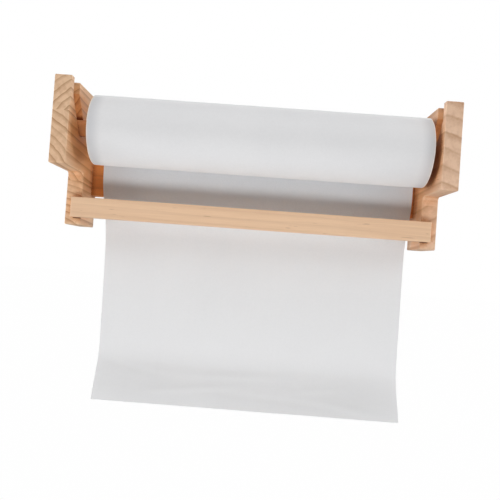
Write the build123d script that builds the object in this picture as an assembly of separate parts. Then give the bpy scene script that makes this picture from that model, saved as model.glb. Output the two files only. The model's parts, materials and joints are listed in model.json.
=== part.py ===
"""Wall-mounted pine dispenser for a wide roll of wrapping sheet.

Two stepped side brackets are joined by a back rail and a tear bar. A dowel rod rests in
slots in the brackets and carries the roll. The sheet comes off the back of the roll,
passes in front of the rail and behind the tear bar, and hangs with a curled free end.

The origin is the middle of the two wall screw holes, on the wall plane: +X to the
viewer's right, +Y into the wall, +Z up. Depths are measured out from the wall, so a point
at depth d has y = -d. Heights are measured up from the brackets' feet.
"""

import os
from math import cos, radians, sin

from build123d import *

# Side brackets
OUTER_WIDTH = 523.0
BRACKET_THICKNESS = 22.0
BRACKET_HEIGHT = 188.0
BRACKET_DEPTH = 145.0
FOOT_DEPTH = 66.0
STEP_HEIGHT = 74.0
STEP_RADIUS = 5.0
PROFILE_CORNER = 2.0
BRACKET_EDGE = 1.0
FLAT_ENOUGH = 0.01

# Dog-leg slot for the rod
PRONG_THICKNESS = 11.5
SLOT_WIDTH = 23.5
SLOT_SLANT = 38.0
SEAT_DEPTH = 92.5
SEAT_HEIGHT = 131.5

# Back rail and its wall screw holes
RAIL_THICKNESS = 22.0
RAIL_HEIGHT = 80.0
RAIL_FOOT = 47.0
RAIL_EDGE = 1.0
WALL_HOLE_SPACING = 400.0
WALL_HOLE_RADIUS = 2.5
WALL_HOLE_SINK_RADIUS = 5.5

# Tear bar
BAR_LENGTH = 502.0
BAR_HEIGHT = 28.0
BAR_THICKNESS = 12.0
BAR_FOOT = 10.5
BAR_EDGE = 1.2

# Rod, core and roll
ROD_RADIUS = 11.0
ROD_LENGTH = 521.0
ROD_CHAMFER = 1.5
ROD_REST_GAP = 0.3
CORE_BORE_RADIUS = 13.0
CORE_RADIUS = 16.0
ROLL_RADIUS = 47.0
ROLL_LENGTH = 450.0
ROLL_SHIFT = 6.3
WOUND_FIT_GAP = 0.05

# Sheet between the roll and its free end
SHEET_THICKNESS = 0.6
SHEET_JOINT_GAP = 0.5
ROLL_TO_SHEET_GAP = 0.4

# Screws that hold the rail, with their wooden plugs
SCREW_RADIUS = 2.25
SCREW_HEAD_RADIUS = 4.5
SCREW_LENGTH = 45.0
SCREW_POINT = 6.0
SCREW_FIT_GAP = 0.05
SCREW_SPACING = 44.0
PLUG_RADIUS = 5.0
PLUG_LENGTH = 7.0
PLUG_RECESS = 7.5

# Dowel pins that hold the tear bar
PIN_RADIUS = 3.0
PIN_LENGTH = 20.0
PIN_IN_BAR = 8.0
PIN_SPACING = 14.0
PIN_FIT_GAP = 0.05
PIN_CHAMFER = 0.6

RAIL_MIDDLE = RAIL_FOOT + RAIL_HEIGHT / 2
FOOT_Z = -RAIL_MIDDLE
INNER_X = OUTER_WIDTH / 2 - BRACKET_THICKNESS
OUTER_X = OUTER_WIDTH / 2
SLOT_UP = (sin(radians(SLOT_SLANT)), cos(radians(SLOT_SLANT)))
ENTRY_DEPTH = BRACKET_DEPTH - PRONG_THICKNESS - SLOT_WIDTH / 2
BEND_HEIGHT = SEAT_HEIGHT + (ENTRY_DEPTH - SEAT_DEPTH) * SLOT_UP[1] / SLOT_UP[0]
ROD_HEIGHT = SEAT_HEIGHT - (SLOT_WIDTH / 2 - ROD_RADIUS - ROD_REST_GAP)
ROLL_HEIGHT = ROD_HEIGHT - (CORE_BORE_RADIUS - ROD_RADIUS - ROD_REST_GAP)
BAR_MIDDLE = BAR_FOOT + BAR_HEIGHT / 2
SIDES = {"left": -1, "right": 1}
LEVELS = {"lower": -1, "upper": 1}

# The sheet's side view, as depth and height, from the roll's back to just below the bar
ROLL_BACK_DEPTH = SEAT_DEPTH - ROLL_RADIUS
UPPER_ROUTE = [
    (ROLL_BACK_DEPTH - SHEET_THICKNESS / 2 - ROLL_TO_SHEET_GAP, ROLL_HEIGHT),
    (44.3, 112.0),
    (41.5, 88.0),
    (38.2, 60.0),
    (26.5, 34.0),
    (12.8, 6.0),
]
# and from there to the free end
LOWER_ROUTE = [
    (12.8, 6.0),
    (8.5, -14.0),
    (6.2, -40.0),
    (5.2, -70.0),
    (4.0, -120.0),
    (2.8, -162.0),
    (2.8, -181.0),
    (5.4, -195.5),
    (10.8, -208.7),
    (17.3, -221.7),
    (24.5, -234.5),
    (29.2, -244.0),
    (31.4, -252.0),
]


def at(depth, height):
    """The y and z of a point at that depth from the wall and height above the feet."""
    return (-depth, FOOT_Z + height)


def x_cylinder(radius, length, middle, depth, height):
    """A cylinder along X with its middle at x = middle."""
    y, z = at(depth, height)
    return Pos(middle, y, z) * Rot(0, 90, 0) * Cylinder(radius, length)


def bracket_profile():
    """The stepped side outline with its open slot, as a face in the YZ plane."""
    outline = Polyline(
        at(0, 0),
        at(FOOT_DEPTH, 0),
        at(FOOT_DEPTH, STEP_HEIGHT),
        at(BRACKET_DEPTH, STEP_HEIGHT),
        at(BRACKET_DEPTH, BRACKET_HEIGHT),
        at(0, BRACKET_HEIGHT),
        close=True,
    )
    profile = make_face(outline)
    step = profile.vertices().sort_by_distance((*at(FOOT_DEPTH, STEP_HEIGHT), 0))[0]
    outer = [v for v in profile.vertices() if v != step]
    profile = fillet(outer, PROFILE_CORNER)
    step = profile.vertices().sort_by_distance((*at(FOOT_DEPTH, STEP_HEIGHT), 0))[0]
    profile = fillet(step, STEP_RADIUS)
    return profile - slot_profile()


def slot_profile():
    """The slot's side view: a slanted run with round ends, then a run straight up."""
    seat = Vector(*at(SEAT_DEPTH, SEAT_HEIGHT))
    bend = Vector(*at(ENTRY_DEPTH, BEND_HEIGHT))
    slanted = SlotCenterToCenter((bend - seat).length, SLOT_WIDTH)
    middle = (seat + bend) / 2
    slanted = Pos(middle.X, middle.Y) * Rot(0, 0, 90 + SLOT_SLANT) * slanted
    run = BRACKET_HEIGHT - BEND_HEIGHT + SLOT_WIDTH
    entry = Pos(bend.X, bend.Y + run / 2) * Rectangle(SLOT_WIDTH, run)
    return slanted + entry


def make_bracket(side):
    """One bracket, with the holes for its rail screws, their plugs and the bar's pins."""
    near_x = INNER_X if side > 0 else -OUTER_X
    face = Plane.YZ * bracket_profile()
    bracket = Pos(near_x, 0, 0) * extrude(face, amount=BRACKET_THICKNESS)
    rims = bracket.edges().filter_by(lambda e: e.bounding_box().size.X < FLAT_ENOUGH)
    bracket = fillet(rims, BRACKET_EDGE)
    for level in LEVELS.values():
        height = RAIL_MIDDLE + level * SCREW_SPACING / 2
        depth = RAIL_THICKNESS / 2
        recess = x_cylinder(PLUG_RADIUS, 2 * PLUG_RECESS, side * OUTER_X, depth, height)
        middle = side * (OUTER_X - BRACKET_THICKNESS / 2)
        bore = x_cylinder(SCREW_RADIUS + SCREW_FIT_GAP, BRACKET_THICKNESS, middle, depth, height)
        bracket = bracket - recess - bore - screw_head(side, level, SCREW_FIT_GAP)
        bracket -= pin_shape(side, level, PIN_FIT_GAP)
    return bracket


def screw_head(side, level, gap=0.0):
    """The countersunk cone under a screw's flat head."""
    y, z = at(RAIL_THICKNESS / 2, RAIL_MIDDLE + level * SCREW_SPACING / 2)
    height = SCREW_HEAD_RADIUS - SCREW_RADIUS
    cone = Cone(SCREW_RADIUS + gap, SCREW_HEAD_RADIUS + gap, height)
    return Pos(side * (OUTER_X - PLUG_RECESS - height / 2), y, z) * Rot(0, side * 90, 0) * cone


def make_screw(side, level, gap=0.0):
    """A rail screw: countersunk head, straight shank and a tapered point."""
    height = RAIL_MIDDLE + level * SCREW_SPACING / 2
    y, z = at(RAIL_THICKNESS / 2, height)
    head_x = OUTER_X - PLUG_RECESS
    shank_length = SCREW_LENGTH - SCREW_POINT
    shank_x = side * (head_x - shank_length / 2)
    shank = x_cylinder(SCREW_RADIUS + gap, shank_length, shank_x, RAIL_THICKNESS / 2, height)
    point = Cone(SCREW_RADIUS / 4 + gap, SCREW_RADIUS + gap, SCREW_POINT)
    point_x = side * (head_x - shank_length - SCREW_POINT / 2)
    point = Pos(point_x, y, z) * Rot(0, side * 90, 0) * point
    return shank + point + screw_head(side, level, gap)


def make_plug(side, level):
    """A wooden plug over a rail screw, flush with the bracket's outer face."""
    height = RAIL_MIDDLE + level * SCREW_SPACING / 2
    middle = side * (OUTER_X - PLUG_LENGTH / 2)
    radius = PLUG_RADIUS - PIN_FIT_GAP
    return x_cylinder(radius, PLUG_LENGTH, middle, RAIL_THICKNESS / 2, height)


def pin_shape(side, level, gap=0.0):
    """A dowel pin that holds the tear bar on a bracket's foot."""
    depth = FOOT_DEPTH + PIN_IN_BAR - PIN_LENGTH / 2
    y, z = at(depth, BAR_MIDDLE + level * PIN_SPACING / 2)
    x = side * (INNER_X + BAR_LENGTH / 2) / 2
    pin = Cylinder(PIN_RADIUS + gap, PIN_LENGTH + 2 * gap)
    pin = chamfer(pin.edges().filter_by(GeomType.CIRCLE), PIN_CHAMFER)
    return Pos(x, y, z) * Rot(90, 0, 0) * pin


def make_rail():
    """The back rail, with countersunk wall screw holes and pilot holes in its ends."""
    y, z = at(RAIL_THICKNESS / 2, RAIL_MIDDLE)
    rail = Pos(0, y, z) * Box(2 * INNER_X, RAIL_THICKNESS, RAIL_HEIGHT)
    rail = fillet(rail.edges().filter_by(Axis.X), RAIL_EDGE)
    sink_height = WALL_HOLE_SINK_RADIUS - WALL_HOLE_RADIUS
    front_y = -RAIL_THICKNESS
    for side in SIDES.values():
        x = side * WALL_HOLE_SPACING / 2
        hole = Cylinder(WALL_HOLE_RADIUS, 2 * RAIL_THICKNESS)
        sink = Cone(WALL_HOLE_RADIUS, WALL_HOLE_SINK_RADIUS, sink_height)
        rail -= Pos(x, y, z) * Rot(90, 0, 0) * hole
        rail -= Pos(x, front_y + sink_height / 2, z) * Rot(90, 0, 0) * sink
        for level in LEVELS.values():
            rail -= make_screw(side, level, SCREW_FIT_GAP)
    return rail


def make_bar():
    """The tear bar, with the blind holes for its dowel pins."""
    y, z = at(FOOT_DEPTH + BAR_THICKNESS / 2, BAR_MIDDLE)
    bar = Pos(0, y, z) * Box(BAR_LENGTH, BAR_THICKNESS, BAR_HEIGHT)
    front = bar.faces().sort_by(Axis.Y)[0]
    bar = fillet(front.edges(), BAR_EDGE)
    for side in SIDES.values():
        for level in LEVELS.values():
            bar -= pin_shape(side, level, PIN_FIT_GAP)
    return bar


def make_rod():
    """The dowel rod, with chamfered ends."""
    rod = x_cylinder(ROD_RADIUS, ROD_LENGTH, 0, SEAT_DEPTH, ROD_HEIGHT)
    return chamfer(rod.edges().filter_by(GeomType.CIRCLE), ROD_CHAMFER)


def make_tube(bore_radius, radius):
    """A tube as long as the roll, on the roll's own axis."""
    outside = x_cylinder(radius, ROLL_LENGTH, ROLL_SHIFT, SEAT_DEPTH, ROLL_HEIGHT)
    bore = x_cylinder(bore_radius, ROLL_LENGTH + 2, ROLL_SHIFT, SEAT_DEPTH, ROLL_HEIGHT)
    return outside - bore


def make_sheet(route, start_trim=0.0):
    """A strip of sheet as wide as the roll, along a route in the side view."""
    (depth, height), *rest = route
    line = Plane.YZ * Spline(at(depth, height - start_trim), *[at(*point) for point in rest])
    start = Plane(origin=line @ 0, x_dir=(1, 0, 0), z_dir=line % 0)
    section = start * Rectangle(ROLL_LENGTH, SHEET_THICKNESS)
    return Pos(ROLL_SHIFT, 0, 0) * sweep(section, path=line)


def make_parts():
    """Every node's name with its shape."""
    parts = {
        "left_bracket": make_bracket(SIDES["left"]),
        "right_bracket": make_bracket(SIDES["right"]),
        "back_rail": make_rail(),
        "tear_bar": make_bar(),
        "roll_rod": make_rod(),
        "core_tube": make_tube(CORE_BORE_RADIUS, CORE_RADIUS),
        "paper_roll": make_tube(CORE_RADIUS + WOUND_FIT_GAP, ROLL_RADIUS),
        "web_upper": make_sheet(UPPER_ROUTE),
        "web_lower": make_sheet(LOWER_ROUTE, SHEET_JOINT_GAP),
    }
    for side_name, side in SIDES.items():
        for level_name, level in LEVELS.items():
            place = f"{side_name}_{level_name}"
            parts[f"rail_screw_{place}"] = make_screw(side, level)
            parts[f"screw_plug_{place}"] = make_plug(side, level)
            parts[f"bar_pin_{place}"] = pin_shape(side, level)
    return parts


os.makedirs("parts", exist_ok=True)
for node, shape in make_parts().items():
    export_step(shape, f"parts/{node}.step")
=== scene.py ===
"""Looks of the wall-mounted pine dispenser: wood, wound roll, hanging sheet, light, camera."""

import json
import math

import bpy
import numpy as np
from mathutils import Matrix, Vector


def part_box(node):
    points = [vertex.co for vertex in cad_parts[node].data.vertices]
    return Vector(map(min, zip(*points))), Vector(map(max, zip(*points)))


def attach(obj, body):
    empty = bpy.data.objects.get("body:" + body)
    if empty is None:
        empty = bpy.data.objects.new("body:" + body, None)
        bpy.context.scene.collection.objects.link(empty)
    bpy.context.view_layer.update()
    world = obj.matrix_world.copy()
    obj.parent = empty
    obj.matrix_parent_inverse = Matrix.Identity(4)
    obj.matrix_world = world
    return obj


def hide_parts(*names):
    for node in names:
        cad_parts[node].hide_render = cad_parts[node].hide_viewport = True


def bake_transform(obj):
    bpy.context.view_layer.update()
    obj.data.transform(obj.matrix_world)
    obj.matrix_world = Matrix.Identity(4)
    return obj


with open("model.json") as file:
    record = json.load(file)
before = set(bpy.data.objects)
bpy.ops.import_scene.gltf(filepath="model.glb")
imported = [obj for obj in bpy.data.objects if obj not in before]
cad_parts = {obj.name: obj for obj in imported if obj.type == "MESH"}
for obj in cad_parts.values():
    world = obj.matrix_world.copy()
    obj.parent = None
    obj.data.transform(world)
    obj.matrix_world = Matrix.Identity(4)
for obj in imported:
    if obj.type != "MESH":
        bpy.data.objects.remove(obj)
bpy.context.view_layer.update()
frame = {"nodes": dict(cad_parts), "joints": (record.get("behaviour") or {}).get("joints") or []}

MM = 0.001
SEED = 7

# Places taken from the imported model
NODES = frame["nodes"]
JOINTS = {joint["name"]: joint for joint in frame["joints"]}
FOOT_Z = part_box("left_bracket")[0].z
ROLL_LOW, ROLL_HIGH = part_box("paper_roll")
ROLL_AXIS = Vector(JOINTS["roll_spin"]["pos_m"])
ROLL_RADIUS = (ROLL_HIGH.z - ROLL_LOW.z) / 2
CORE_RADIUS = (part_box("core_tube")[1].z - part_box("core_tube")[0].z) / 2


# ---------------------------------------------------------------- camera

CAMERA_AT = Vector((0.0108, -0.8657, FOOT_Z - 0.0322))
CAMERA_YAW = 0.576
CAMERA_PITCH = 1.015
CAMERA_ROLL = 4.157
LENS_MM = 40.95
SENSOR_MM = 36.0


def make_camera():
    """The camera in front of the dispenser, a little below it and tilted to one side."""
    data = bpy.data.cameras.new("camera")
    data.lens = LENS_MM
    data.sensor_width = SENSOR_MM
    data.clip_start = 0.01
    camera = bpy.data.objects.new("camera", data)
    turn = Matrix.Rotation(math.radians(CAMERA_YAW), 4, "Z")
    turn = turn @ Matrix.Rotation(math.radians(90 + CAMERA_PITCH), 4, "X")
    turn = turn @ Matrix.Rotation(math.radians(CAMERA_ROLL), 4, "Z")
    camera.matrix_world = Matrix.Translation(CAMERA_AT) @ turn
    bpy.context.scene.collection.objects.link(camera)
    bpy.context.scene.camera = camera


# ---------------------------------------------------------------- node materials

BEVEL_SAMPLES = 6
EDGE_COSINES = (0.995, 0.86)


class Shader:
    """A material or world under construction: each method adds a node and returns its output."""

    def __init__(self, name, owners=bpy.data.materials):
        self.owner = owners.new(name)
        self.owner.use_nodes = True
        self.tree = self.owner.node_tree
        self.tree.nodes.clear()

    def add(self, kind, inputs=None, output=0, **settings):
        node = self.tree.nodes.new("ShaderNode" + kind)
        for name, value in settings.items():
            setattr(node, name, value)
        for key, value in (inputs or {}).items():
            if isinstance(value, bpy.types.NodeSocket):
                self.tree.links.new(value, node.inputs[key])
            else:
                node.inputs[key].default_value = value
        return node.outputs[output]

    def math(self, operation, a, b=0.0, clamp=False):
        return self.add("Math", {0: a, 1: b}, operation=operation, use_clamp=clamp)

    def split(self, vector):
        node = self.add("SeparateXYZ", {0: vector}).node
        return node.outputs[0], node.outputs[1], node.outputs[2]

    def join(self, x, y, z):
        return self.add("CombineXYZ", {0: x, 1: y, 2: z})

    def scaled(self, axes, scales):
        parts = [self.math("MULTIPLY", a, s) for a, s in zip(axes, scales)]
        return self.join(*parts)

    def noise(self, vector, scale=1.0, detail=2.0, rough=0.5):
        inputs = {"Vector": vector, "Scale": scale, "Detail": detail, "Roughness": rough}
        return self.add("TexNoise", inputs, output="Fac")

    def ramp(self, factor, stops, smooth="EASE"):
        node = self.add("ValToRGB", {0: factor}).node
        ramp = node.color_ramp
        ramp.interpolation = smooth
        while len(ramp.elements) < len(stops):
            ramp.elements.new(0.5)
        for element, (place, level) in zip(ramp.elements, stops):
            element.position = place
            element.color = (level, level, level, 1)
        return node.outputs[0]

    def between(self, value, low, high, to_low=0.0, to_high=1.0):
        inputs = {0: value, 1: low, 2: high, 3: to_low, 4: to_high}
        return self.add("MapRange", inputs, interpolation_type="SMOOTHSTEP")

    def mix(self, factor, a, b, blend="MIX"):
        node = self.add("Mix", {0: factor, 6: a, 7: b}, data_type="RGBA", blend_type=blend).node
        return node.outputs[2]

    def bump(self, height, distance, strength=1.0, normal=None):
        inputs = {"Height": height, "Distance": distance, "Strength": strength}
        if normal is not None:
            inputs["Normal"] = normal
        return self.add("Bump", inputs)

    def edges(self, radius):
        """1 along the solid's sharp edges and 0 on its flat faces."""
        bevel = self.add("Bevel", {"Radius": radius}, samples=BEVEL_SAMPLES)
        flat = self.add("NewGeometry", output="Normal")
        dot = self.add("VectorMath", {0: bevel, 1: flat}, output=1, operation="DOT_PRODUCT")
        return self.between(dot, *EDGE_COSINES)

    def open_air(self, reach, samples):
        """How open the surface is to the air within reach: 1 in the open, and less in a nook."""
        return self.add("AmbientOcclusion", {"Distance": reach}, output="AO", samples=samples)

    def facing_x(self):
        """How far the surface faces left or right, from 0 to 1."""
        return self.math("ABSOLUTE", self.split(self.add("NewGeometry", output="Normal"))[0])

    def length(self, a, b):
        """The length of the flat vector (a, b)."""
        return self.add("VectorMath", {0: self.join(a, b, 0.0)}, output=1, operation="LENGTH")

    def finish(self, color, roughness, normal, **sockets):
        """The material with that colour, roughness and normal, and other sockets by name."""
        inputs = {"Base Color": color, "Roughness": roughness, "Normal": normal}
        for name, value in sockets.items():
            inputs[name.replace("_", " ")] = value
        return self.output(self.add("BsdfPrincipled", inputs), "OutputMaterial")

    def output(self, surface, kind):
        """Joins the surface to the output node and returns the material or world."""
        node = self.tree.nodes.new("ShaderNode" + kind)
        self.tree.links.new(surface, node.inputs[0])
        return self.owner


def rgba(red, green, blue):
    return (red, green, blue, 1.0)


WHITE = rgba(1.0, 1.0, 1.0)


# ---------------------------------------------------------------- wood

PINE_LIGHT = rgba(0.90, 0.62, 0.40)
PINE_DARK = rgba(0.41, 0.175, 0.065)
# Painted highlight along the eased edges
PINE_EDGE_HIGHLIGHT = rgba(0.86, 0.66, 0.47)
PINE_CLOUD = rgba(0.72, 0.40, 0.22)
PINE_FIBRE = rgba(0.60, 0.36, 0.20)
PINE_RESIN = rgba(0.30, 0.13, 0.05)
PINE_BOARD = rgba(0.70, 0.42, 0.25)
# Painted shadow: the dark line along the foot of the lapped bar
PAINTED_SEAM_SHADOW = rgba(0.10, 0.045, 0.02)
# Painted shade and warm bounced light: warmer and darker where the wood is closed in
PAINTED_NOOK_SHADE = rgba(1.06, 0.80, 0.52)
# Painted shade: darker on the walls inside the slot
PAINTED_SLOT_SHADE = rgba(0.84, 0.74, 0.62)
# Painted shade: much darker deep in narrow gaps
PAINTED_GAP_SHADE = rgba(0.36, 0.20, 0.14)

# The painted shadow line along the foot of the bar: how far below it, how uneven, and its outer and
# inner half
SEAM_SHADOW_DROP = 0.0002
SEAM_SHADOW_SAG = 0.0016
SEAM_SHADOW_HALF = (0.0014, 0.0005)

# How far round a point the painted nook shade reaches, how far into a gap the painted gap shade
# reaches, and the width of the painted highlight along the edges
NOOK_REACH = 0.06
GAP_REACH = 0.016
EDGE_HIGHLIGHT_WIDTH = 0.0016

# Darkness through one year's growth, from the early wood to the end of the late wood
RING_PROFILE = [(0.0, 0.35), (0.05, 0.0), (0.5, 0.06), (0.8, 0.55), (0.93, 1.0), (1.0, 0.4)]
RING_WANDER = 0.007
RING_RIPPLE = 0.0022
GRAIN_HEIGHT = 0.00018


def pine(name, fibre, boards, spacing, contrast=1.0, light=PINE_LIGHT, dark=PINE_DARK,
         drift=0.04, streaks=1.0, shift=0.0, seam=None, slot=None):
    """Sanded pine: growth rings round a distant pith, fibres, resin flecks and eased edges, with a
    painted highlight on the edges and painted shade in nooks and gaps.

    fibre is the axis that the fibres run along, "x" or "y". boards lists, from the bottom
    up, (height above the feet where the board starts, pith's sideways place, pith's height).
    seam is the box of a piece lapped on the front, under whose foot a painted shadow line is laid.
    slot is the box of a slot cut through the board, whose sawn walls get painted shade.
    """
    s = Shader(name)
    x, y, z = s.split(s.add("TexCoord", output="Object"))
    along, side = (x, y) if fibre == "x" else (y, x)
    along = s.math("ADD", along, shift)
    axes = (along, side, z)

    wander = s.noise(s.scaled(axes, (5, 28, 28)), detail=2)
    ripple = s.noise(s.scaled(axes, (14, 110, 110)), detail=2)
    warp = s.math("MULTIPLY", s.math("SUBTRACT", wander, 0.5), RING_WANDER)
    warp = s.math("ADD", warp, s.math("MULTIPLY", s.math("SUBTRACT", ripple, 0.5), RING_RIPPLE))
    warp = s.math("ADD", warp, s.math("MULTIPLY", along, drift))

    rings, tone = None, None
    for number, (start, pith_side, pith_up) in enumerate(boards):
        across = s.math("SUBTRACT", side, pith_side)
        up = s.math("SUBTRACT", z, FOOT_Z + pith_up)
        radius = s.length(across, up)
        shade = 0.5 + 0.5 * math.sin(2.4 * number + 9 * shift)
        if rings is None:
            rings, tone = radius, shade
            continue
        above = s.math("GREATER_THAN", z, FOOT_Z + start)
        rings = s.add("Mix", {0: above, 2: rings, 3: radius})
        tone = s.add("Mix", {0: above, 2: tone, 3: shade})

    phase = s.math("DIVIDE", s.math("ADD", rings, warp), spacing)
    year = s.math("FLOOR", phase)
    within = s.math("FRACT", phase)
    late = s.ramp(within, RING_PROFILE)
    strength = s.add("TexWhiteNoise", {"W": year}, noise_dimensions="1D")
    late = s.math("MULTIPLY", late, s.math("ADD", s.math("MULTIPLY", strength, 0.55), 0.45))

    fibres = s.noise(s.scaled(axes, (26, 1100, 1100)), detail=3, rough=0.6)
    bands = s.noise(s.scaled(axes, (3.2, 130, 130)), detail=3, rough=0.55)
    clouds = s.noise(s.scaled(axes, (6, 14, 14)), detail=2)
    flecks = s.between(s.noise(s.scaled(axes, (55, 520, 520)), detail=1), 0.72, 0.80)

    depth = s.math("MULTIPLY", late, contrast, clamp=True)
    color = s.mix(depth, light, dark)
    color = s.mix(s.between(bands, 0.35, 0.75, 0.0, 0.30 * streaks), color, dark)
    color = s.mix(s.between(clouds, 0.35, 0.7, 0.0, 0.10), color, PINE_CLOUD)
    color = s.mix(s.between(fibres, 0.3, 0.7, 0.0, 0.16), color, PINE_FIBRE)
    color = s.mix(s.math("MULTIPLY", flecks, 0.5), color, PINE_RESIN)
    color = s.mix(s.math("MULTIPLY", tone, 0.10), color, PINE_BOARD)
    # Painted highlight: lighter along the eased edges
    edge_highlight = s.edges(EDGE_HIGHLIGHT_WIDTH)
    color = s.mix(s.math("MULTIPLY", edge_highlight, 0.35), color, PINE_EDGE_HIGHLIGHT)
    # Painted shade: the walls inside the slot are darker
    if slot is not None:
        color = s.mix(slot_walls(s, y, z, slot), color, PAINTED_SLOT_SHADE, "MULTIPLY")
    # Painted shade and warm bounced light: warmer and darker where the wood is closed in
    nook = s.between(s.open_air(NOOK_REACH, 6), 0.88, 0.45)
    color = s.mix(nook, color, PAINTED_NOOK_SHADE, "MULTIPLY")
    # Painted shade: much darker deep in narrow gaps, such as beside the roll's ends
    gap_shade = s.between(s.open_air(GAP_REACH, 6), 0.70, 0.32)
    color = s.mix(gap_shade, color, PAINTED_GAP_SHADE, "MULTIPLY")
    # Painted shadow: a dark line along the foot of the lapped bar
    if seam is not None:
        color = s.mix(seam_shadow_line(s, x, y, z, seam), color, PAINTED_SEAM_SHADOW)

    rough = s.between(fibres, 0.2, 0.8, 0.50, 0.64)
    rough = s.math("SUBTRACT", rough, s.math("MULTIPLY", depth, 0.08))
    height = s.math("ADD", s.math("MULTIPLY", fibres, 0.5), s.math("MULTIPLY", late, 0.6))
    normal = s.bump(height, GRAIN_HEIGHT, 0.7)
    return s.finish(color, rough, normal, IOR=1.45)


def seam_shadow_line(s, x, y, z, lapped):
    """A painted shadow line, of uneven width, along the foot of a piece lapped on the front of a
    board.
    """
    low, high = lapped
    uneven = s.noise(s.join(x, 0.0, 0.0), scale=160, detail=2)
    sag = s.math("MULTIPLY", s.math("SUBTRACT", uneven, 0.35), SEAM_SHADOW_SAG)
    below = s.math("ABSOLUTE", s.math("SUBTRACT", s.math("ADD", z, sag), low.z - SEAM_SHADOW_DROP))
    line = s.between(below, *SEAM_SHADOW_HALF)
    within = s.math("LESS_THAN", s.math("ABSOLUTE", x), high.x - 0.001)
    front = s.math("LESS_THAN", y, high.y + 0.002)
    return s.math("MULTIPLY", s.math("MULTIPLY", line, within), s.math("MULTIPLY", front, 0.85))


def slot_walls(s, y, z, slot):
    """1 on the sawn walls of a slot through a board's thickness, and 0 on the board's faces."""
    low, high = slot
    wall = s.math("LESS_THAN", s.facing_x(), 0.5)
    deep = s.math("MULTIPLY", s.math("GREATER_THAN", y, low.y), s.math("LESS_THAN", y, high.y))
    tall = s.math("MULTIPLY", s.math("GREATER_THAN", z, low.z), s.math("LESS_THAN", z, high.z))
    return s.math("MULTIPLY", wall, s.math("MULTIPLY", deep, tall))


# ---------------------------------------------------------------- paper, card and steel

ROLL_WHITE = rgba(0.875, 0.875, 0.885)
SHEET_WHITE = rgba(0.838, 0.843, 0.853)
FIBRE_GREY = rgba(0.70, 0.70, 0.71)
SHEET_CLOUD = rgba(0.74, 0.745, 0.76)
SHEET_STREAK = rgba(0.88, 0.88, 0.88)
ROLL_CLOUD = rgba(0.73, 0.735, 0.75)
TURN_LIGHT = rgba(0.83, 0.81, 0.77)
TURN_DARK = rgba(0.52, 0.50, 0.47)
TURN_BAND = rgba(0.70, 0.66, 0.60)
# Painted shade towards the roll's ends
END_SHADE_GREY = rgba(0.57, 0.58, 0.61)
# Painted highlight on the rim at the roll's ends
RIM_HIGHLIGHT = rgba(0.97, 0.90, 0.80)
SHADE_TINT = rgba(0.80, 0.82, 0.84)
SHADE_REACH = 0.12
FIBRE_HEIGHT = 0.00006
COCKLE_HEIGHT = 0.0008
DENT_HEIGHT = 0.0006
PAPER_ROUGHNESS = (0.78, 0.92)
PAPER_GLOSS = {"IOR": 1.4, "Specular_IOR_Level": 0.25}

# The outside of the roll towards its ends: a band of painted shade that wavers, and a painted
# highlight on the rim
END_SHADE_FROM = (0.020, 0.003)
END_SHADE_WAVER = 0.012
RIM_HIGHLIGHT_FROM = (0.0018, 0.0007)


def paper():
    """Matt white sheet: faint fibre clouds, machine-direction streaks and slight cockling, with
    painted shade where it is closed in.
    """
    s = Shader("sheet_paper")
    x, y, z = s.split(s.add("TexCoord", output="Object"))
    axes = (x, y, z)
    formation = s.noise(s.scaled(axes, (320, 320, 320)), detail=4, rough=0.65)
    clouds = s.noise(s.scaled(axes, (11, 11, 11)), detail=3)
    streaks = s.noise(s.scaled(axes, (240, 5, 5)), detail=2)
    color = s.mix(s.between(formation, 0.3, 0.7, 0.0, 0.10), SHEET_WHITE, FIBRE_GREY)
    color = s.mix(s.between(clouds, 0.35, 0.7, 0.0, 0.10), color, SHEET_CLOUD)
    color = s.mix(s.between(streaks, 0.3, 0.7, 0.0, 0.06), color, SHEET_STREAK)
    # Painted shade: greyer and cooler where the sheet is closed in, behind the bar and under the
    # roll
    nook = s.between(s.open_air(SHADE_REACH, 8), 0.68, 0.48)
    color = s.mix(nook, color, SHADE_TINT, "MULTIPLY")
    rough = s.between(formation, 0.3, 0.7, *PAPER_ROUGHNESS)
    waves = s.noise(s.scaled(axes, (16, 9, 9)), detail=2)
    normal = s.bump(waves, COCKLE_HEIGHT, 1.0)
    normal = s.bump(formation, FIBRE_HEIGHT, 0.6, normal)
    return s.finish(color, rough, normal, **PAPER_GLOSS)


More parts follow.
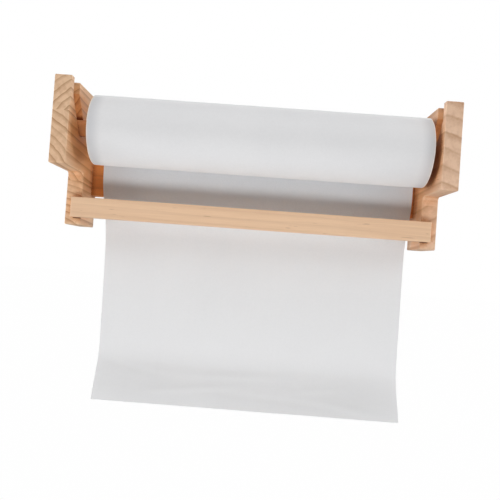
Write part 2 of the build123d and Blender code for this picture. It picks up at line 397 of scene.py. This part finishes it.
def wound_paper():
    """The roll: sheet on the outside, and the edges of its turns on the ends, with painted shade
    towards the ends and a painted highlight on the rim.
    """
    s = Shader("wound_sheet")
    x, y, z = s.split(s.add("TexCoord", output="Object"))
    across = s.math("SUBTRACT", y, ROLL_AXIS.y)
    up = s.math("SUBTRACT", z, ROLL_AXIS.z)
    radius = s.length(across, up)
    on_end = s.between(s.facing_x(), 0.5, 0.8)
    turns = s.noise(s.join(s.math("MULTIPLY", radius, 2600), 0.0, 0.0), detail=3, rough=0.7)
    bands = s.noise(s.join(s.math("MULTIPLY", radius, 240), 0.0, 0.0), detail=2)
    formation = s.noise(s.join(x, y, z), scale=320, detail=4, rough=0.65)
    clouds = s.noise(s.join(x, y, z), scale=11, detail=3)
    color = s.mix(s.between(formation, 0.3, 0.7, 0.0, 0.10), ROLL_WHITE, FIBRE_GREY)
    color = s.mix(s.between(clouds, 0.35, 0.7, 0.0, 0.12), color, ROLL_CLOUD)
    layers = s.mix(s.between(turns, 0.35, 0.65), TURN_LIGHT, TURN_DARK)
    layers = s.mix(s.between(bands, 0.4, 0.65, 0.0, 0.4), layers, TURN_BAND)
    from_left = s.math("SUBTRACT", x, ROLL_LOW.x)
    from_end = s.math("MINIMUM", from_left, s.math("SUBTRACT", ROLL_HIGH.x, x))
    # Painted shade: the outside goes greyer towards the ends, in a band that wavers
    waver = s.math("MULTIPLY", s.math("SUBTRACT", clouds, 0.5), END_SHADE_WAVER)
    end_shade = s.between(s.math("ADD", from_end, waver), *END_SHADE_FROM, 0.0, 0.5)
    color = s.mix(end_shade, color, END_SHADE_GREY)
    # Painted highlight: a bright rim at each end of the outside
    rim = s.between(from_end, *RIM_HIGHLIGHT_FROM)
    color = s.mix(s.math("MULTIPLY", rim, 0.9), color, RIM_HIGHLIGHT)
    color = s.mix(on_end, color, layers)
    rough = s.between(formation, 0.3, 0.7, *PAPER_ROUGHNESS)
    dents = s.bump(s.noise(s.join(x, y, z), scale=13, detail=1), DENT_HEIGHT, 1.0)
    fine = s.math("MULTIPLY", s.math("MULTIPLY", turns, on_end), 3.0)
    normal = s.bump(s.math("ADD", formation, fine), FIBRE_HEIGHT, 0.8, dents)
    return s.finish(color, rough, normal, **PAPER_GLOSS)


# The core's outer ply: how far it climbs in a turn, and its seam through one turn
CORE_PLY_PITCH = 0.075
SEAM_PROFILE = [(0.0, 1.0), (0.012, 0.0), (0.985, 0.0), (1.0, 1.0)]
CARD_LIGHT = rgba(0.50, 0.36, 0.23)
CARD_DARK = rgba(0.38, 0.26, 0.16)
CARD_FLECK = rgba(0.22, 0.15, 0.10)
CARD_SEAM = rgba(0.20, 0.13, 0.08)
ZINC_WARM = rgba(0.62, 0.62, 0.58)
ZINC_COOL = rgba(0.50, 0.52, 0.55)


def card():
    """Grey-brown core board with the helical seam of its outer ply."""
    s = Shader("core_board")
    x, y, z = s.split(s.add("TexCoord", output="Object"))
    across = s.math("SUBTRACT", y, ROLL_AXIS.y)
    up = s.math("SUBTRACT", z, ROLL_AXIS.z)
    angle = s.math("ARCTAN2", up, across)
    turn = s.math("ADD", s.math("DIVIDE", angle, 2 * math.pi), s.math("DIVIDE", x, CORE_PLY_PITCH))
    seam = s.ramp(s.math("FRACT", turn), SEAM_PROFILE)
    pulp = s.noise(s.join(x, y, z), scale=420, detail=4, rough=0.7)
    flecks = s.between(s.noise(s.join(x, y, z), scale=1500, detail=1), 0.68, 0.78)
    color = s.mix(s.between(pulp, 0.3, 0.7), CARD_LIGHT, CARD_DARK)
    color = s.mix(s.math("MULTIPLY", flecks, 0.5), color, CARD_FLECK)
    color = s.mix(s.math("MULTIPLY", seam, 0.6), color, CARD_SEAM)
    height = s.math("SUBTRACT", pulp, s.math("MULTIPLY", seam, 2.0))
    rough = s.between(pulp, 0.3, 0.7, 0.75, 0.9)
    return s.finish(color, rough, s.bump(height, 0.0001, 0.8))


def zinc():
    """Zinc-plated screw steel with a faint blotchy sheen."""
    s = Shader("zinc_steel")
    blotch = s.noise(s.add("TexCoord", output="Object"), scale=900, detail=3)
    color = s.mix(s.between(blotch, 0.3, 0.7), ZINC_WARM, ZINC_COOL)
    rough = s.between(blotch, 0.3, 0.7, 0.28, 0.42)
    return s.finish(color, rough, s.bump(blotch, 0.00002, 0.5), Metallic=1.0)


# ---------------------------------------------------------------- dressing the CAD pieces


def dress(material, *names):
    """Gives a material to CAD nodes whose shape is shown as it is."""
    for name in names:
        for material_slot in NODES[name].material_slots:
            material_slot.material = material


# The boards glued up in each piece, as pine() takes them
LEFT_BOARDS = [(0.0, -0.2875, -0.063), (0.062, -0.327, 0.013), (0.142, -0.177, 0.084)]
RIGHT_BOARDS = [(0.0, 0.36, -0.12), (0.062, 0.173, -0.123)]
RAIL_BOARDS = [(0.0, 0.035, 0.10)]
BAR_BOARDS = [(0.0, -0.11, -0.05)]
ROD_BOARDS = [(0.0, -0.088, 0.127)]
PLUG_BOARDS = [(0.0, 0.0, -0.05)]
PIN_BOARDS = [(0.0, 0.1, 0.1)]

ROSY_PINE = rgba(0.90, 0.63, 0.45)
PALE_PINE = rgba(0.92, 0.645, 0.43)
# The rail's own pine tone, painted more orange for the warm light bounced onto it in shade
RAIL_PINE_AND_BOUNCE = rgba(0.94, 0.48, 0.19)
# The rod's pine, painted darker and redder for the shade it sits in
SHADED_ROD_PINE = rgba(0.50, 0.26, 0.12)
PLUG_PINE = rgba(0.68, 0.40, 0.21)
BEECH = rgba(0.66, 0.46, 0.29)
RUST = rgba(0.50, 0.19, 0.055)

# The box of the slots' sawn walls, which get painted shade: front, back, and its ends below the
# rod's seat and the top
SLOT_FRONT_Y = -0.132
SLOT_BACK_Y = -0.078
SLOT_BELOW_ROD = 0.012
SLOT_TOP_EDGE = 0.0015

CORNERS = ["left_lower", "left_upper", "right_lower", "right_upper"]


def dress_wood():
    """Gives each wooden piece its own pine, with its own board, grain and tone."""
    low = ROLL_AXIS.z - SLOT_BELOW_ROD
    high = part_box("left_bracket")[1].z - SLOT_TOP_EDGE
    slot = (Vector((0, SLOT_FRONT_Y, low)), Vector((0, SLOT_BACK_Y, high)))
    # The bar's box places the painted shadow line along its foot, and the slot's box places the
    # painted shade on the slot walls
    cuts = {"seam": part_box("tear_bar"), "slot": slot}
    left = pine("pine_left", "y", LEFT_BOARDS, 0.0093, **cuts)
    right = pine("pine_right", "y", RIGHT_BOARDS, 0.0205, 0.62, ROSY_PINE, shift=0.31, **cuts)
    # The rail's own pine, painted more orange for the warm bounced light in the shade behind the
    # roll and sheet
    rail = pine("pine_rail", "x", RAIL_BOARDS, 0.0075, 0.8, RAIL_PINE_AND_BOUNCE, RUST, shift=0.9)
    bar = pine("pine_bar", "x", BAR_BOARDS, 0.0100, 0.16, PALE_PINE, drift=0.02, streaks=0.5,
               shift=0.45)
    # The rod's pine is painted darker and redder for the shade it sits in, between bracket and roll
    rod = pine("pine_rod", "x", ROD_BOARDS, 0.0032, 0.6, SHADED_ROD_PINE, RUST, shift=1.7)
    plug = pine("pine_plug", "y", PLUG_BOARDS, 0.0040, 0.9, PLUG_PINE, shift=2.6)
    pin = pine("beech_pin", "y", PIN_BOARDS, 0.0025, 0.35, BEECH, shift=3.1)
    dress(left, "left_bracket")
    dress(right, "right_bracket")
    dress(rail, "back_rail")
    dress(bar, "tear_bar")
    dress(rod, "roll_rod")
    dress(plug, *[f"screw_plug_{corner}" for corner in CORNERS])
    dress(pin, *[f"bar_pin_{corner}" for corner in CORNERS])


def dress_core_and_screws():
    """Gives the screws and the core tube their materials."""
    dress(zinc(), *[f"rail_screw_{corner}" for corner in CORNERS])
    dress(card(), "core_tube")


# ---------------------------------------------------------------- mesh helpers


def mesh_object(name, points, faces, material, sharp_deg=40.0):
    """A smooth-shaded mesh object with its sharp edges kept."""
    mesh = bpy.data.meshes.new(name)
    mesh.from_pydata([tuple(p) for p in points], [], faces)
    mesh.validate()
    mesh.materials.append(material)
    mesh.shade_smooth()
    mesh.set_sharp_from_angle(angle=math.radians(sharp_deg))
    piece = bpy.data.objects.new(name, mesh)
    bpy.context.scene.collection.objects.link(piece)
    return piece


def ring_faces(rows, columns):
    """Quads of a grid whose rows and columns both close on themselves."""
    faces = []
    for i in range(rows):
        for j in range(columns):
            a = i * columns + j
            b = i * columns + (j + 1) % columns
            c = ((i + 1) % rows) * columns + (j + 1) % columns
            d = ((i + 1) % rows) * columns + j
            faces.append((a, b, c, d))
    return faces


# ---------------------------------------------------------------- wound roll

ROLL_SEGMENTS = 144
ROLL_TURNS_SHOWN = 54
ROLL_STATIONS = 44
ROLL_EDGE = 0.0007
ROLL_SUNK = 0.0002
CORE_GAP = 0.0001
BORE_INSET = 0.002

# How the turns lie on the ends: their drift from turn to turn, each one's step and its wobble
TURN_DRIFT = 0.00005
TURN_STEP = 0.00028
TURN_WOBBLE = 0.00010

# The outer skin: waves along it, and how much smaller it is towards the ends
SKIN_WAVES = 4
SKIN_WAVE_HEIGHT = 0.00002
SKIN_SLACK = 0.0003
SLACK_REACH = 0.03


def end_rings(random, turn, end, inward):
    """The visible turns on the end of the roll at x = end, from the core out."""
    radii = np.linspace(CORE_RADIUS + CORE_GAP, ROLL_RADIUS - ROLL_EDGE, ROLL_TURNS_SHOWN)
    drift = np.cumsum(random.normal(0, TURN_DRIFT, ROLL_TURNS_SHOWN))
    drift -= np.linspace(drift[0], drift[-1], ROLL_TURNS_SHOWN)
    step = random.uniform(0, TURN_STEP, ROLL_TURNS_SHOWN)
    wobble = random.uniform(0, TURN_WOBBLE, ROLL_TURNS_SHOWN)
    phase = random.uniform(0, 2 * math.pi, ROLL_TURNS_SHOWN)
    offsets = np.abs(drift) + step + wobble
    rings = []
    for radius, offset, w, p in zip(radii, offsets, wobble, phase):
        x = end + inward * (offset + w * np.cos(turn + p))
        rings.append((x, np.full_like(turn, radius)))
    return rings


def skin_rings(random, turn):
    """The outside of the roll, from its left end to its right."""
    left, right = ROLL_LOW.x + ROLL_EDGE, ROLL_HIGH.x - ROLL_EDGE
    swell = random.uniform(-1, 1, SKIN_WAVES)
    rings = []
    for t in np.linspace(0, 1, ROLL_STATIONS):
        waves = [math.sin((k + 2) * math.pi * t + 3 * swell[k]) for k in range(SKIN_WAVES)]
        slack = SKIN_SLACK * math.exp(-min(t, 1 - t) / SLACK_REACH)
        radius = ROLL_RADIUS - ROLL_SUNK - slack + SKIN_WAVE_HEIGHT * sum(waves)
        x = left + t * (right - left)
        rings.append((np.full_like(turn, x), np.full_like(turn, radius)))
    return rings


def bore_rings(turn):
    """The two ends of the hole round the core, from right to left."""
    radius = np.full_like(turn, CORE_RADIUS + CORE_GAP)
    ends = (ROLL_HIGH.x - BORE_INSET, ROLL_LOW.x + BORE_INSET)
    return [(np.full_like(turn, x), radius) for x in ends]


def make_roll():
    """The wound roll as one closed mesh: turns proud and shy on the ends, soft outer skin."""
    random = np.random.default_rng(SEED)
    turn = np.linspace(0, 2 * math.pi, ROLL_SEGMENTS, endpoint=False)
    left_end = end_rings(random, turn, ROLL_LOW.x, 1)
    right_end = end_rings(random, turn, ROLL_HIGH.x, -1)
    sections = left_end + skin_rings(random, turn) + right_end[::-1] + bore_rings(turn)
    points = []
    for x, radius in sections:
        y = ROLL_AXIS.y + radius * np.cos(turn)
        z = ROLL_AXIS.z + radius * np.sin(turn)
        points.extend(np.stack([x, y, z], axis=1))
    faces = ring_faces(len(sections), ROLL_SEGMENTS)
    roll = mesh_object("wound_roll", points, faces, wound_paper(), sharp_deg=50)
    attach(roll, "roll")
    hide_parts("paper_roll")


# ---------------------------------------------------------------- hanging sheet

SHEET_THICKNESS = 0.00022
SHEET_LENGTH = 0.4935
SHEET_COLUMNS = 72
SHEET_ROWS = 220

# The sheet's start on the roll: its angle up from the back, how long it takes to come out
# from under the outer turn, how far under that it begins and how far proud it ends
WRAP_START_DEG = 120.0
WRAP_RISE_DEG = 10.0
WRAP_UNDER = 0.0005
WRAP_PROUD = 0.00005
WRAP_STEPS = 25

# Side views of the sheet's left and right edges, in mm: depth from the wall and height
# above the feet, from just under the roll's back to beyond the free end
LEFT_ROUTE = [(45.0, 112), (41, 88), (36.5, 60), (24, 34), (9.5, 6), (5, -14), (3, -40),
              (2.1, -70), (1.8, -120), (1.8, -163), (2.4, -181), (5.5, -196), (11.5, -209),
              (17.5, -221.5), (23.5, -233.5), (28, -243.5), (32, -253), (38, -266)]
RIGHT_ROUTE = [(45.0, 112), (42, 88), (40, 60), (29, 34), (16, 6), (12, -14), (9.5, -40),
               (8.4, -70), (6, -120), (3.4, -160), (2.8, -180), (4.3, -195), (9, -209),
               (15.5, -222.5), (22.5, -235), (27.5, -244.5), (32.5, -254), (39, -266)]

# How unevenly, from edge to edge, the sheet passes from its left route to its right
ROUTE_SWAY = 0.06

# The sideways lean, in mm above the feet where it begins, and its slope
SKEW_FROM = 60
SKEW_SLOPE = 0.014

# Slow ripples: height, then waves across and down in radians, and how they grow down the
# sheet from the share of its length where they begin
RIPPLES = [(0.00055, 5.3, 7.0), (0.00035, 11.0, -4.0), (0.00020, 19.0, 9.0)]
RIPPLE_RISE = 0.7
FREE_FROM = 0.33

# Shallow creases: place across and down the sheet as shares, slant, half length and height
CREASES = [(0.33, 0.945, -0.10, 0.17, 0.00080), (0.58, 0.962, 0.05, 0.22, -0.00070),
           (0.86, 0.975, 0.12, 0.12, 0.00090), (0.14, 0.90, 0.16, 0.10, -0.00055),
           (0.47, 0.90, -0.04, 0.20, 0.00060), (0.73, 0.925, -0.14, 0.11, 0.00060),
           (0.12, 0.70, 0.05, 0.10, 0.00035), (0.80, 0.62, -0.04, 0.16, -0.00035)]
CREASE_WIDTH = 0.011
CREASE_FADE = 1.5


def catmull(points, steps=12):
    """A smooth path through the points."""
    padded = np.vstack([2 * points[0] - points[1], points, 2 * points[-1] - points[-2]])
    path = []
    t = np.linspace(0, 1, steps, endpoint=False)[:, None]
    for p0, p1, p2, p3 in zip(padded, padded[1:], padded[2:], padded[3:]):
        path.append(0.5 * (2 * p1 + (p2 - p0) * t + (2 * p0 - 5 * p1 + 4 * p2 - p3) * t**2
                           + (3 * p1 - p0 - 3 * p2 + p3) * t**3))
    return np.vstack(path + [points[-1:]])


def spaced(path, distances):
    """Points of the path at those distances along it."""
    steps = np.linalg.norm(np.diff(path, axis=0), axis=1)
    along = np.concatenate([[0], np.cumsum(steps)])
    return np.stack([np.interp(distances, along, path[:, k]) for k in (0, 1)], axis=1)


def wrap_points():
    """The turn under the sheet: it leaves the skin of the roll as it comes round to the back."""
    angles = np.radians(np.linspace(WRAP_START_DEG, 0, WRAP_STEPS))
    rise = np.minimum((angles[0] - angles) / math.radians(WRAP_RISE_DEG), 1)
    radius = ROLL_RADIUS - WRAP_UNDER + (WRAP_UNDER + WRAP_PROUD) * rise
    depth = -ROLL_AXIS.y - radius * np.cos(angles)
    height = ROLL_AXIS.z - FOOT_Z + radius * np.sin(angles)
    return np.stack([depth, height], axis=1)


def creases(u, v):
    """How far the creases push the sheet forward, across at u and down at each v."""
    push = np.zeros_like(v)
    for middle_u, middle_v, slant, half, height in CREASES:
        along = (u - middle_u) / half
        beside = (v - middle_v - slant * (u - middle_u)) / CREASE_WIDTH
        push += height * np.exp(-along**2 * CREASE_FADE - beside**2)
    return push


def sheet_grid():
    """The middle surface of the sheet: rows down it from the roll, columns across it."""
    lead = wrap_points()
    left_route = np.array(LEFT_ROUTE) * MM
    right_route = np.array(RIGHT_ROUTE) * MM
    random = np.random.default_rng(SEED + 1)
    phases = random.uniform(0, 2 * math.pi, len(RIPPLES))
    distances = np.linspace(0, SHEET_LENGTH, SHEET_ROWS)
    down = distances / SHEET_LENGTH
    free = np.clip((down - FREE_FROM) / (1 - FREE_FROM), 0, 1)
    grid = np.zeros((SHEET_ROWS, SHEET_COLUMNS, 3))
    for column, u in enumerate(np.linspace(0, 1, SHEET_COLUMNS)):
        share = u + ROUTE_SWAY * math.sin(2 * math.pi * u)
        route = left_route * (1 - share) + right_route * share
        line = spaced(catmull(np.vstack([lead, route])), distances)
        ripple = np.zeros_like(free)
        for (height, waves_across, waves_down), phase in zip(RIPPLES, phases):
            ripple += height * np.sin(waves_across * u + waves_down * free + phase)
        depth = line[:, 0] + ripple * free**RIPPLE_RISE + creases(u, down)
        skew = SKEW_SLOPE * np.maximum(SKEW_FROM * MM - line[:, 1], 0)
        grid[:, column, 0] = ROLL_LOW.x + u * (ROLL_HIGH.x - ROLL_LOW.x) + skew
        grid[:, column, 1] = -depth
        grid[:, column, 2] = FOOT_Z + line[:, 1]
    return grid


def make_sheet():
    """The sheet from the roll to its curled free end, as one thin closed mesh."""
    grid = sheet_grid()
    normal = np.cross(np.gradient(grid, axis=1), np.gradient(grid, axis=0))
    normal /= np.linalg.norm(normal, axis=2, keepdims=True)
    front = (grid + normal * SHEET_THICKNESS / 2).reshape(-1, 3)
    back = (grid - normal * SHEET_THICKNESS / 2).reshape(-1, 3)
    sheet = mesh_object("paper_sheet", np.vstack([front, back]), sheet_faces(), paper())
    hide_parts("web_upper", "web_lower")
    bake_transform(sheet)


def sheet_faces():
    """Front, back and the four narrow edges of a two-sided grid."""
    rows, columns = SHEET_ROWS, SHEET_COLUMNS
    other = rows * columns
    faces = []
    for i in range(rows - 1):
        for j in range(columns - 1):
            a = i * columns + j
            quad = (a, a + columns, a + columns + 1, a + 1)
            faces.append(quad[::-1])
            faces.append(tuple(v + other for v in quad))
    rim = list(range(columns))
    rim += [i * columns + columns - 1 for i in range(1, rows)]
    rim += [(rows - 1) * columns + j for j in range(columns - 2, -1, -1)]
    rim += [i * columns for i in range(rows - 2, 0, -1)]
    for a, b in zip(rim, rim[1:] + rim[:1]):
        faces.append((b, a, a + other, b + other))
    return faces


# ---------------------------------------------------------------- surroundings

FLOOR_Z = -1.4
FLOOR_SIZE = 60.0
FLOOR_DULL = rgba(0.40, 0.40, 0.40)
FLOOR_PALE = rgba(0.99, 0.99, 0.99)


def make_floor():
    """A plain white floor that runs into the background, and throws little light back up."""
    half = FLOOR_SIZE / 2
    sides = [(-half, -half), (half, -half), (half, half), (-half, half)]
    corners = [(x, y, FLOOR_Z) for x, y in sides]
    s = Shader("pale_floor")
    grain = s.noise(s.add("TexCoord", output="Object"), scale=40, detail=3)
    dull = s.add("BsdfDiffuse", {"Color": FLOOR_DULL})
    pale = s.mix(grain, FLOOR_PALE, WHITE)
    white = s.add("Emission", {"Color": pale, "Strength": 1.0})
    seen = s.add("MixShader", {0: s.add("LightPath", output="Is Camera Ray"), 1: dull, 2: white})
    floor = mesh_object("floor", corners, [(0, 1, 2, 3)], s.output(seen, "OutputMaterial"))


# Brightness of the surroundings by the sine of the height angle, ahead of and behind the wall
FRONT_SKY = [(-1.0, 0.03), (0.2, 0.03), (0.45, 1.45), (0.75, 0.03), (1.0, 0.03)]
BACK_SKY = [(-1.0, 1.2), (0.25, 1.2), (0.65, 0.3), (1.0, 0.3)]
SKY_TURN = (-0.35, 0.35)


def sky_ramp(s, height, sky):
    """The sky's brightness at that height, where height runs from 0 below to 1 above."""
    return s.ramp(height, [(place / 2 + 0.5, level) for place, level in sky], "LINEAR")


def make_world():
    """A white studio: pure white to the camera, and graded by height and side for the light."""
    s = Shader("studio", bpy.data.worlds)
    y, z = s.split(s.add("TexCoord", output="Generated"))[1:]
    height = s.math("ADD", s.math("MULTIPLY", z, 0.5), 0.5)
    front = sky_ramp(s, height, FRONT_SKY)
    back = sky_ramp(s, height, BACK_SKY)
    color = s.mix(s.between(y, *SKY_TURN), front, back)
    light = s.add("Background", {"Color": color, "Strength": 1.0})
    seen = s.add("Background", {"Color": WHITE, "Strength": 1.0})
    mixed = s.add("MixShader", {0: s.add("LightPath", output="Is Camera Ray"), 1: light, 2: seen})
    bpy.context.scene.world = s.output(mixed, "OutputWorld")


LIT_MIDDLE = Vector((0, -0.05, FOOT_Z - 0.03))


def soft_box(name, side_deg, height_deg, away, size, power):
    """A wide area light, that far round to the right from dead ahead and up, aimed at the sheet."""
    side, height = math.radians(side_deg), math.radians(height_deg)
    level = math.cos(height)
    ahead = Vector((math.sin(side) * level, -math.cos(side) * level, math.sin(height)))
    data = bpy.data.lights.new(name, "AREA")
    data.shape = "RECTANGLE"
    data.size, data.size_y = size
    data.energy = power
    lamp = bpy.data.objects.new(name, data)
    lamp.location = LIT_MIDDLE + away * ahead
    lamp.rotation_euler = (-ahead).to_track_quat("-Z", "Y").to_euler()
    bpy.context.scene.collection.objects.link(lamp)


def make_lights():
    """A low light in front, one overhead, and one at each side."""
    soft_box("low_front", -6, -35, 1.7, (1.5, 0.5), 15.0)
    soft_box("overhead", 0, 84, 1.6, (1.6, 0.6), 12.0)
    soft_box("left_side", -78, -5, 1.6, (0.6, 0.6), 7.0)
    soft_box("right_side", 78, -5, 1.6, (0.6, 0.6), 7.0)


make_camera()
bpy.context.scene.view_settings.view_transform = "Standard"
dress_wood()
dress_core_and_screws()
make_roll()
make_sheet()
make_floor()
make_world()
make_lights()
